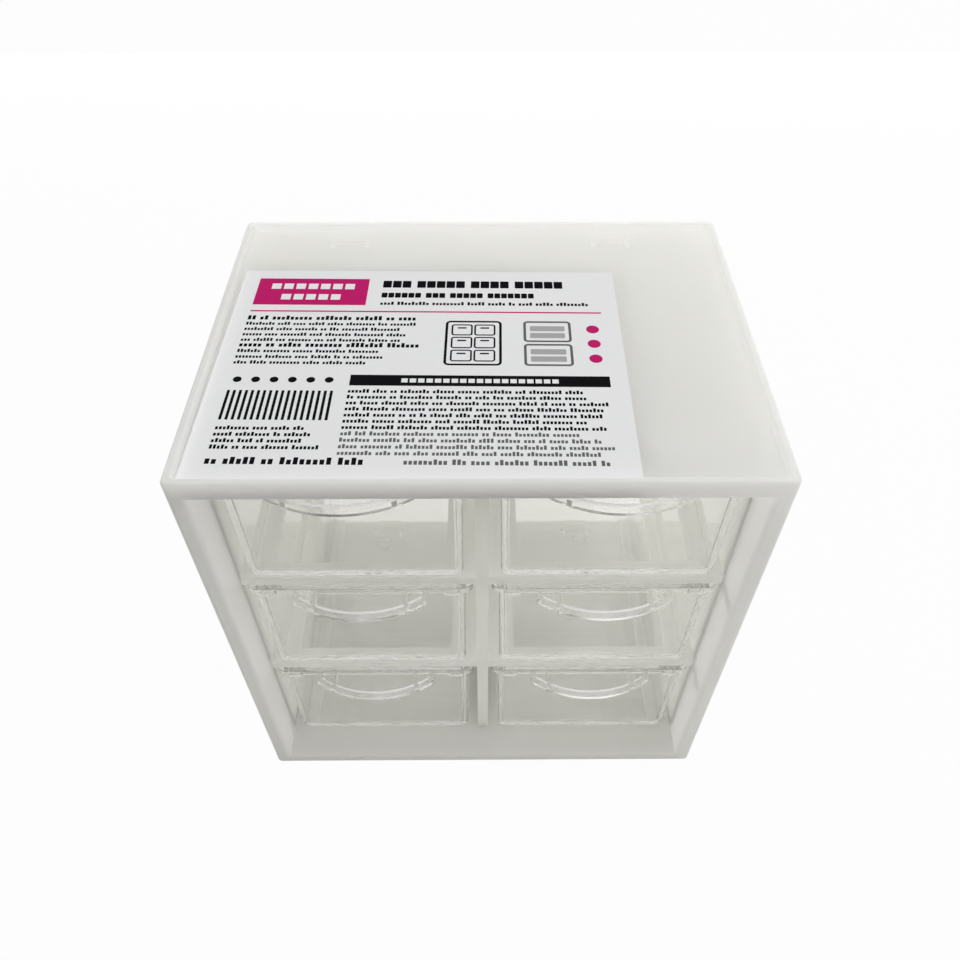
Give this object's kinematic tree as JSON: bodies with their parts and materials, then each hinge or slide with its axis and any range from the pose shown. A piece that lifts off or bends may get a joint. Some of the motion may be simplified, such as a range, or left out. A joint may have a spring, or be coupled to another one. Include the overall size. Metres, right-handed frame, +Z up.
{
  "type": "desktop drawer case",
  "caption": "Milky plastic desktop case with rows of clear slide-out drawers on bow handles, and a rimmed top and foot ring for stacking.",
  "frame": {"origin": "on the ground under the middle of the case, where the foot ring stands", "axes": "+X to the right across the drawer fronts, +Y to the back panel, +Z up; drawers pull out towards -Y"},
  "size_m": [0.123, 0.096, 0.121],
  "materials": {
    "milky_shell": "milky translucent polystyrene, smooth satin gloss",
    "milky_rack": "milky translucent polystyrene, smooth satin gloss",
    "milky_panel": "milky translucent polystyrene, smooth satin gloss",
    "clear_drawer": "clear polystyrene, glossy",
    "label_paper": null
  },
  "bodies": {
    "case": {"case_shell": "milky_shell", "drawer_rack": "milky_rack", "back_panel": "milky_panel", "label": "label_paper"},
    "drawer_bottom_left": {"drawer_bottom_left": "clear_drawer"},
    "drawer_bottom_right": {"drawer_bottom_right": "clear_drawer"},
    "drawer_middle_left": {"drawer_middle_left": "clear_drawer"},
    "drawer_middle_right": {"drawer_middle_right": "clear_drawer"},
    "drawer_top_left": {"drawer_top_left": "clear_drawer"},
    "drawer_top_right": {"drawer_top_right": "clear_drawer"}
  },
  "joints": [
    {"name": "drawer_bottom_left_slide", "type": "slide", "parent": "case", "child": "drawer_bottom_left", "axis": [0, -1, 0], "range_m": [0, 0.07]},
    {"name": "drawer_bottom_right_slide", "type": "slide", "parent": "case", "child": "drawer_bottom_right", "axis": [0, -1, 0], "range_m": [0, 0.07]},
    {"name": "drawer_middle_left_slide", "type": "slide", "parent": "case", "child": "drawer_middle_left", "axis": [0, -1, 0], "range_m": [0, 0.07]},
    {"name": "drawer_middle_right_slide", "type": "slide", "parent": "case", "child": "drawer_middle_right", "axis": [0, -1, 0], "range_m": [0, 0.07]},
    {"name": "drawer_top_left_slide", "type": "slide", "parent": "case", "child": "drawer_top_left", "axis": [0, -1, 0], "range_m": [0, 0.07]},
    {"name": "drawer_top_right_slide", "type": "slide", "parent": "case", "child": "drawer_top_right", "axis": [0, -1, 0], "range_m": [0, 0.07]}
  ]
}
